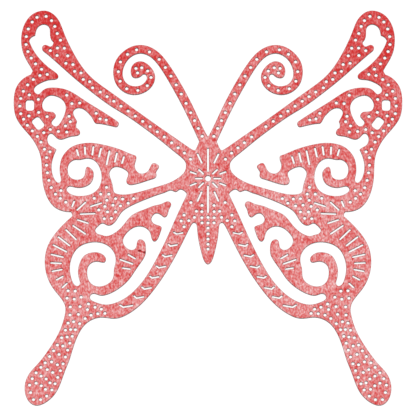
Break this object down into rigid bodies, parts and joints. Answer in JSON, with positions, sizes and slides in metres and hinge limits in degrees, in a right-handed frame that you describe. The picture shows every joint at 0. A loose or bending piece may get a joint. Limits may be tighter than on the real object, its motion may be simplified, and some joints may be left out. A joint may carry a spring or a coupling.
{
  "type": "die-cut butterfly",
  "caption": "Flat butterfly die-cut from red card, opened up by scrolled windows, slots and rows of pierced dots; wings and antennae bend up at creases.",
  "frame": {"origin": "on the axis of the centre hole of the thorax, in the underside of the card", "axes": "+X to the butterfly's right as it is seen from above, +Y towards the antennae, +Z out of the upper face of the card"},
  "size_m": [0.1202, 0.1221, 0.0004],
  "materials": {
    "red_card": "matt uncoated red card with a pale mottled fibre, deeper at the wing tips, paler at the cut edges"
  },
  "bodies": {
    "body": {"head": "red_card", "thorax": "red_card", "abdomen": "red_card"},
    "wing_right": {"wing_root_right": "red_card", "forewing_leading_edge_right": "red_card", "forewing_tip_right": "red_card", "forewing_outer_margin_right": "red_card", "forewing_crest_right": "red_card", "forewing_scroll_right": "red_card", "forewing_scroll_arm_right": "red_card", "forewing_trailing_bar_right": "red_card", "forewing_fan_right": "red_card", "hindwing_fan_right": "red_card", "hindwing_crest_right": "red_card", "hindwing_scroll_right": "red_card", "hindwing_curl_right": "red_card", "hindwing_inner_bar_right": "red_card", "hindwing_tail_root_right": "red_card", "hindwing_tail_right": "red_card"},
    "antenna_right": {"antenna_stem_right": "red_card", "antenna_curl_right": "red_card"},
    "wing_left": {"wing_root_left": "red_card", "forewing_leading_edge_left": "red_card", "forewing_tip_left": "red_card", "forewing_outer_margin_left": "red_card", "forewing_crest_left": "red_card", "forewing_scroll_left": "red_card", "forewing_scroll_arm_left": "red_card", "forewing_trailing_bar_left": "red_card", "forewing_fan_left": "red_card", "hindwing_fan_left": "red_card", "hindwing_crest_left": "red_card", "hindwing_scroll_left": "red_card", "hindwing_curl_left": "red_card", "hindwing_inner_bar_left": "red_card", "hindwing_tail_root_left": "red_card", "hindwing_tail_left": "red_card"},
    "antenna_left": {"antenna_stem_left": "red_card", "antenna_curl_left": "red_card"}
  },
  "joints": [
    {"name": "wing_right_crease", "type": "hinge", "parent": "body", "child": "wing_right", "pos_m": [0.00425, 0, 0.0004], "axis": [0, -1, 0], "range_deg": [0, 90]},
    {"name": "antenna_right_crease", "type": "hinge", "parent": "body", "child": "antenna_right", "pos_m": [0.00135, 0.0122, 0.0004], "axis": [0.8878, -0.4603, 0], "range_deg": [0, 45]},
    {"name": "wing_left_crease", "type": "hinge", "parent": "body", "child": "wing_left", "pos_m": [-0.00425, 0, 0.0004], "axis": [0, 1, 0], "range_deg": [0, 90]},
    {"name": "antenna_left_crease", "type": "hinge", "parent": "body", "child": "antenna_left", "pos_m": [-0.00135, 0.0122, 0.0004], "axis": [0.8878, 0.4603, 0], "range_deg": [0, 45]}
  ]
}
